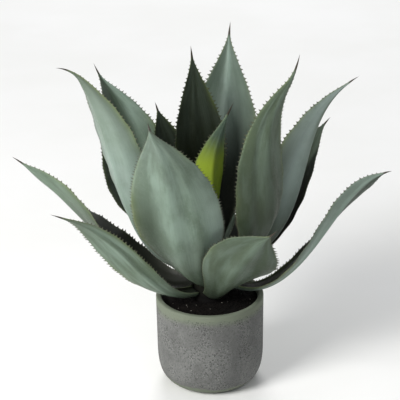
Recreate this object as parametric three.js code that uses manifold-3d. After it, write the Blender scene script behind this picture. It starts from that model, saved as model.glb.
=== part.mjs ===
// Potted agave: a rosette of broad toothed leaves on a short stem, in soil, in a round concrete pot.
// Millimetres, +Z up. The origin is the middle of the pot's foot; the plant's front faces -Y.
import * as THREE from "three";
import { mergeVertices } from "three/addons/utils/BufferGeometryUtils.js";
import Module from "manifold-3d";

const wasm = await Module();
wasm.setup();

// Pot
const POT_HEIGHT = 135;
const POT_RADIUS = 78;
const POT_FOOT_RADIUS = 46;
const POT_CORNER_HEIGHT = 46;
const POT_CORNER_STEPS = 9;
const POT_FOOT_PULL = 22;
const POT_FOOT_RISE = 1;
const POT_SIDE_PULL = 32;
const POT_SIDE_SLOPE = 2;
const POT_LIP_ROUND = 2.5;
const POT_LIP_BEVEL = 0.75;
const POT_WALL = 8;
const POT_BORE = POT_RADIUS - POT_WALL;
const POT_FLOOR = 12;
const POT_FLOOR_RADIUS = 53;
const POT_SIDES = 48;

// Soil and stem
const SOIL_TOP = 126;
const SOIL_DOME = 3;
const SOIL_SHOULDER = 42;
const SOIL_SHOULDER_DOME = 2.4;
const SEAT_GAP = 0.3;
const STEM_RADIUS = 22.5;
const STEM_TOP_RADIUS = 8.5;
const STEM_BOTTOM = 92;
const STEM_BOTTOM_RADIUS = 16;
const STEM_BOTTOM_SLOPE = 12;
const STEM_SHOULDER = 170;
const STEM_TOP = 238;
const STEM_SIDES = 24;

// Leaf blade
const MARGIN_THICKNESS = 1;
const ROOT_THICKNESS = 9;
const ROOT_STAND = 0.4;
const TIP_THICKNESS = 2.2;
const THICKNESS_TO_HALF_WIDTH = 1.6;
const MARGIN_TO_THICKNESS = 0.6;
const LEAST_THICKNESS = 0.1;
const LEAST_BEND = 0.02;
const LENGTH_STEPS = 40;
const TANGENT_STEP = 0.01;
const BLADE_ROWS = 11;
const BLADE_COLUMNS = [-1, -0.66, -0.33, 0, 0.33, 0.66, 1];

// Marginal teeth and end spine
const TOOTH_PITCH = 14;
const TOOTH_HEIGHT = 3;
const TOOTH_FOOT = 2.2;
const TOOTH_LEAN = 1;
const TOOTH_FREE_ROOT = 0.16;
const SMOOTH_STEPS = 3;
const SPINE_LENGTH = 18;
const SPINE_RADIUS = 1.7;
const TIP_DRAW = 1.35;
const HOOK_START = 0.9;

// The leaves, from the outer ones to the heart.
// heading: degrees from +X towards +Y. root: height on the stem.
// midrib: [out, up, side] at a third, two thirds and the tip. hook: bend of the end, [out, up, side].
// width: full flat width. waist: width at the root as a share of it. crest: where it is widest.
// taper: how round the sides run to the tip. cup: half angle of the channel at root, middle and tip.
// fold: 0 for a round channel, 1 for two flat halves. roll: turn about the midrib at root, middle and tip.
const LEAVES = [
  {
    name: "leaf_left_low",
    heading: 168,
    root: 150,
    midrib: [[104, 166, 0], [190, 246, 0], [288, 328, 0]], hook: [0, 0, 0],
    width: 88, waist: 0.42, crest: 0.6, taper: 2.2,
    cup: [60, 36, 25], fold: 0, roll: [-22, 10, 80],
  },
  {
    name: "leaf_left_front_low",
    heading: 210,
    root: 140,
    midrib: [[101, 177, 0], [165, 254, 0], [243, 312, 0]], hook: [2, 4, 0],
    width: 44, waist: 0.5, crest: 0.45, taper: 2.8,
    cup: [60, 18, 15], fold: 0, roll: [0, 56, 20],
  },
  {
    name: "leaf_front_right_low",
    heading: 300,
    root: 139,
    midrib: [[85, 196, -14], [133, 253, -13], [178, 298, -2]], hook: [0, 4, 3],
    width: 98, waist: 0.47, crest: 0.48, taper: 2.4,
    cup: [60, 25, 15], fold: 0, roll: [0, -34, -35],
  },
  {
    name: "leaf_right_low",
    heading: 355,
    root: 154,
    midrib: [[112, 170, 0], [184, 265, 0], [256, 330, 0]], hook: [0, 0, 0],
    width: 62, waist: 0.3, crest: 0.68, taper: 2.2,
    cup: [60, 30, 14], fold: 0, roll: [-7, -13, -75],
  },
  {
    name: "leaf_front",
    heading: 252,
    root: 160,
    midrib: [[90, 244, -13], [130, 356, -13], [236, 475, -8]], hook: [-3, 5, 5],
    width: 130, waist: 0.3, crest: 0.44, taper: 2.3,
    cup: [60, 29, 15], fold: 0, roll: [0, 9, 0],
  },
  {
    name: "leaf_left",
    heading: 202,
    root: 176,
    midrib: [[113, 262, 4], [149, 394, 0], [205, 517, 0]], hook: [9, -11, 0],
    width: 92, waist: 0.36, crest: 0.58, taper: 2.3,
    cup: [60, 60, 30], fold: 1, roll: [0, 25, 10],
  },
  {
    name: "leaf_left_back",
    heading: 126,
    root: 168,
    midrib: [[152, 235, 15], [200, 324, 9], [300, 402, 0]], hook: [-9, 8, 0],
    width: 134, waist: 0.34, crest: 0.48, taper: 2.0,
    cup: [60, 46, 44], fold: 0.6, roll: [0, 0, 0],
  },
  {
    name: "leaf_right",
    heading: 359,
    root: 176,
    midrib: [[114, 253, 9], [146, 367, 10], [208, 463, 0]], hook: [0, 0, 0],
    width: 122, waist: 0.34, crest: 0.5, taper: 1.8,
    cup: [60, 60, 40], fold: 1, roll: [0, -30, -30],
  },
  {
    name: "leaf_right_back",
    heading: 33,
    root: 160,
    midrib: [[112, 205, 0], [163, 290, 0], [216, 360, 0]], hook: [0, 0, 0],
    width: 96, waist: 0.36, crest: 0.5, taper: 2.2,
    cup: [60, 38, 20], fold: 0, roll: [0, 0, 0],
  },
  {
    name: "leaf_right_front",
    heading: 324,
    root: 196,
    midrib: [[101, 276, -5], [101, 384, -7], [166, 516, 0]], hook: [-17, 7, 0],
    width: 92, waist: 0.4, crest: 0.42, taper: 2.0,
    cup: [60, 40, 30], fold: 0, roll: [0, -18, -35],
  },
  {
    name: "leaf_back",
    heading: 71,
    root: 210,
    midrib: [[70, 300, 0], [92, 400, 0], [104, 511, 1]], hook: [0, 2, -2],
    width: 116, waist: 0.4, crest: 0.45, taper: 2.0,
    cup: [60, 35, 25], fold: 0.4, roll: [0, 0, 0],
  },
  {
    name: "leaf_back_left",
    heading: 112,
    root: 222,
    midrib: [[34, 310, 0], [44, 400, 0], [58, 492, 0]], hook: [0, 0, 0],
    width: 80, waist: 0.42, crest: 0.5, taper: 1.9,
    cup: [60, 35, 25], fold: 0.3, roll: [0, 0, 0],
  },
  {
    name: "leaf_back_left_small",
    heading: 125,
    root: 190,
    midrib: [[72, 262, 0], [104, 332, 0], [131, 391, 0]], hook: [0, 0, 0],
    width: 70, waist: 0.45, crest: 0.5, taper: 2.2,
    cup: [60, 40, 25], fold: 0, roll: [0, 0, 0],
  },
  {
    name: "leaf_heart",
    heading: 320,
    root: 230,
    midrib: [[2, 300, 4], [10, 360, 4], [47, 438, 0]], hook: [0, 0, 0],
    width: 56, waist: 0.5, crest: 0.4, taper: 1.9,
    cup: [60, 40, 25], fold: 0, roll: [0, -20, -20],
  },
  {
    name: "leaf_back_middle",
    heading: 76,
    root: 176,
    midrib: [[94, 256, 0], [148, 322, 0], [184, 372, 0]], hook: [0, 0, 0],
    width: 92, waist: 0.24, crest: 0.5, taper: 2.2,
    cup: [60, 40, 25], fold: 0, roll: [0, 0, 0],
  },
  {
    name: "leaf_back_right_low",
    heading: 54,
    root: 141,
    midrib: [[105, 168, 0], [165, 205, 0], [228, 232, 0]], hook: [0, 0, 0],
    width: 90, waist: 0.34, crest: 0.5, taper: 2.2,
    cup: [60, 40, 25], fold: 0, roll: [0, 0, 0],
  },
  {
    name: "leaf_back_low",
    heading: 90,
    root: 152,
    midrib: [[100, 180, 0], [160, 222, 0], [222, 260, 0]], hook: [0, 0, 0],
    width: 88, waist: 0.34, crest: 0.5, taper: 2.2,
    cup: [60, 40, 25], fold: 0, roll: [0, 0, 0],
  },
];

// Colours and roughness
const SKINS = {
  concrete: { color: 0x6e6e69, roughness: 0.9, metalness: 0 },
  soil: { color: 0x24211f, roughness: 1, metalness: 0 },
  stem: { color: 0x3a3528, roughness: 0.7, metalness: 0 },
  leaf: { color: 0x6f8274, roughness: 0.6, metalness: 0 },
};

const RAD = Math.PI / 180;
const SAME_POINT = 1e-4;
const SAME_STATION = 1e-9;

// Solids

function toManifold(geometry) {
  const bare = geometry.clone();
  bare.deleteAttribute("normal");
  bare.deleteAttribute("uv");
  const merged = mergeVertices(bare, SAME_POINT);
  return new wasm.Manifold(new wasm.Mesh({
    numProp: 3,
    vertProperties: new Float32Array(merged.attributes.position.array),
    triVerts: new Uint32Array(merged.index.array),
  }));
}

function toGeometry(solid) {
  const mesh = solid.getMesh();
  const geometry = new THREE.BufferGeometry();
  geometry.setAttribute("position", new THREE.BufferAttribute(new Float32Array(mesh.vertProperties), 3));
  geometry.setIndex(new THREE.BufferAttribute(new Uint32Array(mesh.triVerts), 1));
  geometry.computeVertexNormals();
  return geometry;
}

// The body of the largest volume: a cut can leave crumbs.
function largestBody(solid) {
  return solid.decompose().reduce((best, body) => (body.volume() > best.volume() ? body : best));
}

// A lathe round +Z from [radius, height] points.
function turned(points, sides) {
  const geometry = new THREE.LatheGeometry(points.map(([r, z]) => new THREE.Vector2(r, z)), sides);
  geometry.rotateX(Math.PI / 2);
  return geometry;
}

function finish(geometry, name, skin) {
  const mesh = new THREE.Mesh(geometry, new THREE.MeshStandardMaterial(skin));
  mesh.name = name;
  return mesh;
}

// Pot, soil and stem

function potGeometry() {
  const corner = new THREE.CubicBezierCurve(
    new THREE.Vector2(POT_FOOT_RADIUS, 0),
    new THREE.Vector2(POT_FOOT_RADIUS + POT_FOOT_PULL, POT_FOOT_RISE),
    new THREE.Vector2(POT_RADIUS - POT_SIDE_SLOPE, POT_CORNER_HEIGHT - POT_SIDE_PULL),
    new THREE.Vector2(POT_RADIUS - POT_LIP_BEVEL, POT_CORNER_HEIGHT),
  );
  const outside = corner.getPoints(POT_CORNER_STEPS).map((p) => [p.x, p.y]);
  const profile = [
    [0, 0],
    ...outside,
    [POT_RADIUS, POT_HEIGHT - POT_LIP_ROUND],
    [POT_RADIUS - POT_LIP_BEVEL, POT_HEIGHT - POT_LIP_BEVEL],
    [POT_RADIUS - POT_LIP_ROUND, POT_HEIGHT],
    [POT_BORE + POT_LIP_ROUND, POT_HEIGHT],
    [POT_BORE, POT_HEIGHT - POT_LIP_ROUND],
    [POT_BORE, POT_CORNER_HEIGHT],
    [POT_FLOOR_RADIUS, POT_FLOOR],
    [0, POT_FLOOR],
  ];
  return turned(profile, POT_SIDES);
}

// The stem's radius at a height above its lower end.
function stemRadius(height) {
  const rise = Math.max(height - STEM_SHOULDER, 0) / (STEM_TOP - STEM_SHOULDER);
  return STEM_RADIUS + (STEM_TOP_RADIUS - STEM_RADIUS) * rise;
}

// The stem's outline, grown by a distance all round.
function stemProfile(grow) {
  return [
    [0, STEM_BOTTOM - grow],
    [STEM_BOTTOM_RADIUS + grow, STEM_BOTTOM - grow],
    [STEM_RADIUS + grow, STEM_BOTTOM + STEM_BOTTOM_SLOPE],
    [STEM_RADIUS + grow, STEM_SHOULDER],
    [STEM_TOP_RADIUS + grow, STEM_TOP + grow],
    [0, STEM_TOP + grow],
  ];
}

function soilGeometry() {
  const profile = [
    [0, POT_FLOOR + SEAT_GAP],
    [POT_FLOOR_RADIUS - SEAT_GAP, POT_FLOOR + SEAT_GAP],
    [POT_BORE - SEAT_GAP, POT_CORNER_HEIGHT + SEAT_GAP],
    [POT_BORE - SEAT_GAP, SOIL_TOP],
    [SOIL_SHOULDER, SOIL_TOP + SOIL_SHOULDER_DOME],
    [0, SOIL_TOP + SOIL_DOME],
  ];
  const heap = toManifold(turned(profile, POT_SIDES));
  return toGeometry(heap.subtract(toManifold(turned(stemProfile(SEAT_GAP), STEM_SIDES))));
}

// Leaves

function mix(a, b, share) {
  return a + (b - a) * share;
}

// A value given at the root, middle and tip, along the leaf.
function along([root, middle, tip], t) {
  return root * (1 - t) * (1 - 2 * t) + middle * 4 * t * (1 - t) + tip * t * (2 * t - 1);
}

// The cubic through four points at 0, 1/3, 2/3 and 1.
function throughFour(p, t) {
  const a = (1 - 3 * t) * (1 - 1.5 * t) * (1 - t);
  const b = 9 * t * (1 - 1.5 * t) * (1 - t);
  const c = -4.5 * t * (1 - 3 * t) * (1 - t);
  const d = t * (1 - 3 * t) * (1 - 1.5 * t);
  return p[0] * a + p[1] * b + p[2] * c + p[3] * d;
}

function midribPoint(leaf, t) {
  const knots = [[stemRadius(leaf.root) + ROOT_STAND, leaf.root, 0], ...leaf.midrib];
  const hook = Math.max((t - HOOK_START) / (1 - HOOK_START), 0) ** 2;
  const coordinate = (axis) => throughFour(knots.map((p) => p[axis]), t) + leaf.hook[axis] * hook;
  const [out, up, side] = [0, 1, 2].map(coordinate);
  const c = Math.cos(leaf.heading * RAD);
  const s = Math.sin(leaf.heading * RAD);
  return new THREE.Vector3(out * c - side * s, out * s + side * c, up);
}

// The midrib's place, its direction, the way across the blade and the way out of its inner face.
function frameAt(leaf, t) {
  const place = midribPoint(leaf, t);
  const ahead = midribPoint(leaf, t + TANGENT_STEP).sub(midribPoint(leaf, t - TANGENT_STEP)).normalize();
  const across = new THREE.Vector3(-Math.sin(leaf.heading * RAD), Math.cos(leaf.heading * RAD), 0);
  across.addScaledVector(ahead, -across.dot(ahead)).normalize();
  across.applyAxisAngle(ahead, along(leaf.roll, t) * RAD);
  const inward = new THREE.Vector3().crossVectors(ahead, across);
  return { place, ahead, across, inward };
}

function leafLength(leaf) {
  let length = 0;
  for (let i = 0; i < LENGTH_STEPS; i++) {
    length += midribPoint(leaf, i / LENGTH_STEPS).distanceTo(midribPoint(leaf, (i + 1) / LENGTH_STEPS));
  }
  return length;
}

// Half the flat width of the blade; the end spine is the last stretch.
function halfWidth(leaf, t, spineStart) {
  if (t >= spineStart) {
    return SPINE_RADIUS * (1 - t) / (1 - spineStart);
  }
  const u = t / spineStart;
  const full = leaf.width / 2;
  if (u < leaf.crest) {
    const rise = Math.sin((Math.PI / 2) * (u / leaf.crest)) ** 2;
    return full * (leaf.waist + (1 - leaf.waist) * rise);
  }
  const fall = ((u - leaf.crest) / (1 - leaf.crest)) ** leaf.taper;
  return SPINE_RADIUS + (full - SPINE_RADIUS) * (1 - fall) ** TIP_DRAW;
}

// The blade's thickness on the midrib.
function midThickness(t, half) {
  const blade = ROOT_THICKNESS + (TIP_THICKNESS - ROOT_THICKNESS) * Math.sqrt(t);
  return Math.min(blade, Math.max(half * THICKNESS_TO_HALF_WIDTH, LEAST_THICKNESS));
}

// A point of the leaf: v runs across from -1 to 1, face is +1 on the inner face and -1 on the outer one.
function leafPoint(leaf, t, v, face, spineStart) {
  const { place, across, inward } = frameAt(leaf, t);
  const half = halfWidth(leaf, t, spineStart);
  const bend = Math.max(along(leaf.cup, t) * RAD, LEAST_BEND);
  const radius = half / bend;
  const thick = midThickness(t, half);
  const margin = Math.min(MARGIN_THICKNESS, thick * MARGIN_TO_THICKNESS);
  const depth = margin + (thick - margin) * (1 - v * v);
  const lift = mix(radius * (1 - Math.cos(bend * v)), half * Math.sin(bend / 2) * Math.abs(v), leaf.fold);
  const aside = mix(radius * Math.sin(bend * v), half * Math.cos(bend / 2) * v, leaf.fold);
  return place.clone()
    .addScaledVector(across, aside)
    .addScaledVector(inward, lift + (face * depth) / 2);
}

// The margin from root to tip, as points with their t: feet and points of the teeth.
function marginStations(leaf, length, spineStart) {
  const stations = [];
  const count = Math.floor((spineStart - TOOTH_FREE_ROOT) * length / TOOTH_PITCH);
  const foot = TOOTH_FOOT / length;
  for (let i = 0; i < SMOOTH_STEPS; i++) {
    stations.push({ t: (i / SMOOTH_STEPS) * TOOTH_FREE_ROOT, tooth: false });
  }
  for (let i = 0; i < count; i++) {
    const t = TOOTH_FREE_ROOT + ((i + 0.5) / count) * (spineStart - TOOTH_FREE_ROOT);
    stations.push({ t: t - foot, tooth: false });
    stations.push({ t, tooth: true });
    stations.push({ t: t + foot, tooth: false });
  }
  stations.push({ t: spineStart, tooth: false });
  return stations;
}

// One leaf as a closed blade. Both faces are split into triangles alike.
function leafGeometry(leaf) {
  const length = leafLength(leaf);
  const spineStart = 1 - SPINE_LENGTH / length;
  const positions = [];
  const triangles = [];
  const addPoint = (p) => positions.push(p.x, p.y, p.z) / 3 - 1;
  const tip = addPoint(midribPoint(leaf, 1));
  const rows = [];
  for (let i = 0; i < BLADE_ROWS; i++) {
    rows.push((i / (BLADE_ROWS - 1)) * spineStart);
  }
  const stations = marginStations(leaf, length, spineStart);
  const last = BLADE_COLUMNS.length - 1;
  const faces = [];
  for (const face of [1, -1]) {
    const columns = BLADE_COLUMNS.map((v, j) => {
      const edge = j === 0 || j === last;
      const line = (edge ? stations : rows.map((t) => ({ t, tooth: false }))).map(({ t, tooth }, k) => {
        if (!tooth) {
          return { t, index: addPoint(leafPoint(leaf, t, v, face, spineStart)) };
        }
        if (face === -1) {
          return { t, index: faces[0][j][k].index };
        }
        const frame = frameAt(leaf, t);
        const bend = along(leaf.cup, t) * RAD * v * (1 - leaf.fold / 2);
        const apex = leafPoint(leaf, t, v, 0, spineStart)
          .addScaledVector(frame.across, v * TOOTH_HEIGHT * Math.cos(bend))
          .addScaledVector(frame.inward, v * TOOTH_HEIGHT * Math.sin(bend))
          .addScaledVector(frame.ahead, TOOTH_LEAN);
        return { t, index: addPoint(apex) };
      });
      line.push({ t: 1, index: tip });
      return line;
    });
    faces.push(columns);
  }
  const addTriangle = (a, b, c, flip) => {
    if (a !== b && b !== c && c !== a) {
      triangles.push(...(flip ? [a, c, b] : [a, b, c]));
    }
  };
  // Joins two lines of points that both run from root to tip.
  const stitch = (lower, upper, flip) => {
    let i = 0;
    let j = 0;
    while (i < lower.length - 1 || j < upper.length - 1) {
      const stepLower = j === upper.length - 1
        || (i < lower.length - 1 && lower[i + 1].t <= upper[j + 1].t + SAME_STATION);
      if (stepLower) {
        addTriangle(lower[i].index, lower[i + 1].index, upper[j].index, flip);
        i++;
      } else {
        addTriangle(lower[i].index, upper[j + 1].index, upper[j].index, flip);
        j++;
      }
    }
  };
  for (let j = 0; j < last; j++) {
    stitch(faces[0][j], faces[0][j + 1], false);
    stitch(faces[1][j], faces[1][j + 1], true);
    const [a, b] = [faces[0][j][0].index, faces[0][j + 1][0].index];
    const [c, d] = [faces[1][j][0].index, faces[1][j + 1][0].index];
    addTriangle(a, b, d, false);
    addTriangle(a, d, c, false);
  }
  for (const [j, flip] of [[0, true], [last, false]]) {
    const [top, bottom] = [faces[0][j], faces[1][j]];
    for (let k = 0; k < top.length - 1; k++) {
      addTriangle(top[k].index, top[k + 1].index, bottom[k + 1].index, flip);
      addTriangle(top[k].index, bottom[k + 1].index, bottom[k].index, flip);
    }
  }
  const geometry = new THREE.BufferGeometry();
  geometry.setAttribute("position", new THREE.BufferAttribute(new Float32Array(positions), 3));
  geometry.setIndex(triangles);
  return geometry;
}

// The plant in its pot

const plant = new THREE.Group();
plant.name = "potted_agave";
plant.add(finish(potGeometry(), "pot", SKINS.concrete));
plant.add(finish(soilGeometry(), "soil", SKINS.soil));
plant.add(finish(turned(stemProfile(0), STEM_SIDES), "stem", SKINS.stem));

const stemGrown = toManifold(turned(stemProfile(SEAT_GAP), STEM_SIDES));
for (const leaf of LEAVES) {
  const blade = largestBody(toManifold(leafGeometry(leaf)).subtract(stemGrown));
  plant.add(finish(toGeometry(blade), leaf.name, SKINS.leaf));
}

export default plant;
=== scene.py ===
"""Looks of the potted agave: fine leaves, concrete pot, soil and stem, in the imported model's frame."""

import math
import random
from types import SimpleNamespace

import bpy
import numpy as np
from mathutils import Matrix, Vector, noise


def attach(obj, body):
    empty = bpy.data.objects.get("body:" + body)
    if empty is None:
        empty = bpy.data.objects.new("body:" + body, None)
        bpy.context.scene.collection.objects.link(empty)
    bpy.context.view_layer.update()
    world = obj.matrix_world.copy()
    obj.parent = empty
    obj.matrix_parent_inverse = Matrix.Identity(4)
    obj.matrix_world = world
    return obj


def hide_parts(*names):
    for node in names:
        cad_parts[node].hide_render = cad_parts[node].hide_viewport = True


MM = 0.001

# Pot, in millimetres
POT_HEIGHT = 135
POT_RADIUS = 78
POT_WALL = 8
POT_BORE = POT_RADIUS - POT_WALL
POT_FOOT_RADIUS = 46
POT_FOOT_INSET = 3
POT_FOOT_PULL = 22
POT_FOOT_RISE = 1
POT_CORNER_HEIGHT = 46
POT_CORNER_STEPS = 26
POT_SIDE_PULL = 32
POT_SIDE_SLOPE = 2
POT_SIDE_STEPS = 6
POT_LIP_ROUND = 2.5
POT_LIP_BEVEL = 0.75
POT_LIP_STEPS = 6
POT_FLOOR = 12
POT_FLOOR_RADIUS = 53
POT_SIDES = 160

# Soil, in millimetres
SEAT_GAP = 0.3
SOIL_TOP = 126
SOIL_DOME = 3
SOIL_RADIUS = 69.6
SOIL_CORNER_LIFT = 1
SOIL_FLOOR_INSET = 1
SOIL_RINGS = 56
SOIL_SPOKES = 150
# Unevenness of the soil: width of its lumps, where in the noise they are read, and their height
SOIL_LUMPS = [(9, 0.3, 1.1), (3, 7.1, 0.8)]
SOIL_EDGE_RISE = 8

# Loose crumbs on the soil, of which a few are pale grains: sizes in millimetres, the rest as shares
CRUMBS = 1500
PALE_EVERY = 50
PALE_SIZES = (0.35, 0.8)
CRUMB_SIZES = (0.5, 1.5)
CRUMB_REACH = 0.95
CRUMB_DEPTHS = (0.6, 1)
CRUMB_HEIGHTS = (0.6, 0.9)
CRUMB_LIFT = 0.2
CRUMB_TURNS = (0, 6)
CRUMB_PALENESS = (0, 0.3)

# Stem, in millimetres
STEM_RADIUS = 22.5
STEM_TOP_RADIUS = 8.5
STEM_BOTTOM = 92
STEM_BOTTOM_RADIUS = 16
STEM_BOTTOM_SLOPE = 12
STEM_SHOULDER = 170
STEM_TOP = 238
STEM_TOP_SLOPE = 3
STEM_END_RADIUS = 7
STEM_END_ROUND = 0.8
STEM_ROWS = 60
STEM_SIDES = 72
SCAR_PITCH = 9
SCAR_DEPTH = 0.8

# Leaf blade and end spine: sizes in millimetres, places along the leaf as shares
MARGIN_THICKNESS = 1
ROOT_THICKNESS = 9
TIP_THICKNESS = 2.2
THICKNESS_TO_HALF_WIDTH = 1.6
MARGIN_TO_THICKNESS = 0.6
LEAST_THICKNESS = 0.1
LEAST_BEND = 0.02
ROOT_STAND = 0.4
BLADE_ROWS = 84
SPINE_ROWS = 12
BLADE_COLUMNS = 29
LENGTH_STEPS = 40
TANGENT_STEP = 0.01
RIM_REACH = 0.35
EDGE_FADE = 1.3
SPINE_LENGTH = 18
SPINE_RADIUS = 1.7
SPINE_BLEND = (-0.004, 0.012)
TIP_DRAW = 1.35
HOOK_START = 0.9

# Relief of the blade: soft folds, single ridges and a wavy margin, in millimetres
FOLD_DEPTH = 1.0
BROAD_SHARE = 0.6
BROAD_FOLDS = 0.9
BROAD_SWAY = 0.2
BROAD_BENDS = 3
FINE_SHARE = 0.4
FINE_FOLDS = 1.9
FINE_SLANT = 0.5
RIDGE_DEPTH = 2.8
WAVE_DEPTH = 0.8
WAVE_LENGTH = 38
WAVE_TO_MARGIN = 4
WAVE_PHASE = 5
RELIEF_HALF_WIDTH = 40
RELIEF_FADE = 0.7

# Teeth along both margins: the pitch in millimetres, the rest as shares
TOOTH_PITCH = 5.8
TOOTH_FREE_ROOT = 0.13
TOOTH_JITTER = 0.22
TOOTH_SIZES = (0.78, 1.12)
# Size of the teeth next to the root and to the spine, and how fast it grows from there
TOOTH_ROOT_SWELL = (0.55, 2.2)
TOOTH_SPINE_SWELL = (0.5, 3.5)
# A tooth's rings: height, half length along the margin, half thickness and shift towards the leaf's tip
TOOTH_RINGS = [
    (-1.2, 2.4, 0.5, 0.0),
    (0.1, 2.0, 0.5, 0.0),
    (1.2, 1.2, 0.44, 0.3),
    (2.4, 0.7, 0.35, 0.8),
]
TOOTH_APEX = (3.8, 1.7)
TOOTH_DARKNESS = (0.1, 0.3, 0.55, 0.8)
TOOTH_SIDES = 6

# What the leaf's material reads at each point: place across from -1 to 1, metres along, nearness to the
# margin, spine, 0 on the inner face to 1 on the outer one, and share of the way along
LEAF_MARKS = ("across", "along", "edge", "spine", "outer", "share")

# The leaves, from the outer ones to the heart.
# heading: degrees from +X towards +Y. root: height on the stem.
# midrib: [out, up, side] at a third, two thirds and the tip. hook: bend of the end, [out, up, side].
# width: full flat width. waist: width at the root as a share of it. crest: where it is widest.
# taper: how round the sides run to the tip. cup: half angle of the channel at root, middle and tip.
# fold: 0 for a round channel, 1 for two flat halves. roll: turn about the midrib at root, middle and tip.
LEAVES = [
    dict(name="leaf_left_low", heading=168, root=150,
         midrib=[[104, 166, 0], [190, 246, 0], [288, 328, 0]], hook=[0, 0, 0],
         width=88, waist=0.42, crest=0.6, taper=2.2, cup=[60, 36, 25],
         fold=0, roll=[-22, 10, 80]),
    dict(name="leaf_left_front_low", heading=210, root=140,
         midrib=[[101, 177, 0], [165, 254, 0], [243, 312, 0]], hook=[2, 4, 0],
         width=44, waist=0.5, crest=0.45, taper=2.8, cup=[60, 18, 15],
         fold=0, roll=[0, 56, 20]),
    dict(name="leaf_front_right_low", heading=300, root=139,
         midrib=[[85, 196, -14], [133, 253, -13], [178, 298, -2]], hook=[0, 4, 3],
         width=98, waist=0.47, crest=0.48, taper=2.4, cup=[60, 25, 15],
         fold=0, roll=[0, -34, -35]),
    dict(name="leaf_right_low", heading=355, root=154,
         midrib=[[112, 170, 0], [184, 265, 0], [256, 330, 0]], hook=[0, 0, 0],
         width=62, waist=0.3, crest=0.68, taper=2.2, cup=[60, 30, 14],
         fold=0, roll=[-7, -13, -75]),
    dict(name="leaf_front", heading=252, root=160,
         midrib=[[90, 244, -13], [130, 356, -13], [236, 475, -8]], hook=[-3, 5, 5],
         width=130, waist=0.3, crest=0.44, taper=2.3, cup=[60, 29, 15],
         fold=0, roll=[0, 9, 0]),
    dict(name="leaf_left", heading=202, root=176,
         midrib=[[113, 262, 4], [149, 394, 0], [205, 517, 0]], hook=[9, -11, 0],
         width=92, waist=0.36, crest=0.58, taper=2.3, cup=[60, 60, 30],
         fold=1, roll=[0, 25, 10]),
    dict(name="leaf_left_back", heading=126, root=168,
         midrib=[[152, 235, 15], [200, 324, 9], [300, 402, 0]], hook=[-9, 8, 0],
         width=134, waist=0.34, crest=0.48, taper=2.0, cup=[60, 46, 44],
         fold=0.6, roll=[0, 0, 0]),
    dict(name="leaf_right", heading=359, root=176,
         midrib=[[114, 253, 9], [146, 367, 10], [208, 463, 0]], hook=[0, 0, 0],
         width=122, waist=0.34, crest=0.5, taper=1.8, cup=[60, 60, 40],
         fold=1, roll=[0, -30, -30]),
    dict(name="leaf_right_back", heading=33, root=160,
         midrib=[[112, 205, 0], [163, 290, 0], [216, 360, 0]], hook=[0, 0, 0],
         width=96, waist=0.36, crest=0.5, taper=2.2, cup=[60, 38, 20],
         fold=0, roll=[0, 0, 0]),
    dict(name="leaf_right_front", heading=324, root=196,
         midrib=[[101, 276, -5], [101, 384, -7], [166, 516, 0]], hook=[-17, 7, 0],
         width=92, waist=0.4, crest=0.42, taper=2.0, cup=[60, 40, 30],
         fold=0, roll=[0, -18, -35]),
    dict(name="leaf_back", heading=71, root=210,
         midrib=[[70, 300, 0], [92, 400, 0], [104, 511, 1]], hook=[0, 2, -2],
         width=116, waist=0.4, crest=0.45, taper=2.0, cup=[60, 35, 25],
         fold=0.4, roll=[0, 0, 0]),
    dict(name="leaf_back_left", heading=112, root=222,
         midrib=[[34, 310, 0], [44, 400, 0], [58, 492, 0]], hook=[0, 0, 0],
         width=80, waist=0.42, crest=0.5, taper=1.9, cup=[60, 35, 25],
         fold=0.3, roll=[0, 0, 0]),
    dict(name="leaf_back_left_small", heading=125, root=190,
         midrib=[[72, 262, 0], [104, 332, 0], [131, 391, 0]], hook=[0, 0, 0],
         width=70, waist=0.45, crest=0.5, taper=2.2, cup=[60, 40, 25],
         fold=0, roll=[0, 0, 0]),
    dict(name="leaf_heart", heading=320, root=230,
         midrib=[[2, 300, 4], [10, 360, 4], [47, 438, 0]], hook=[0, 0, 0],
         width=56, waist=0.5, crest=0.4, taper=1.9, cup=[60, 40, 25],
         fold=0, roll=[0, -20, -20]),
    dict(name="leaf_back_middle", heading=76, root=176,
         midrib=[[94, 256, 0], [148, 322, 0], [184, 372, 0]], hook=[0, 0, 0],
         width=92, waist=0.24, crest=0.5, taper=2.2, cup=[60, 40, 25],
         fold=0, roll=[0, 0, 0]),
    dict(name="leaf_back_right_low", heading=54, root=141,
         midrib=[[105, 168, 0], [165, 205, 0], [228, 232, 0]], hook=[0, 0, 0],
         width=90, waist=0.34, crest=0.5, taper=2.2, cup=[60, 40, 25],
         fold=0, roll=[0, 0, 0]),
    dict(name="leaf_back_low", heading=90, root=152,
         midrib=[[100, 180, 0], [160, 222, 0], [222, 260, 0]], hook=[0, 0, 0],
         width=88, waist=0.34, crest=0.5, taper=2.2, cup=[60, 40, 25],
         fold=0, roll=[0, 0, 0]),
]

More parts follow.
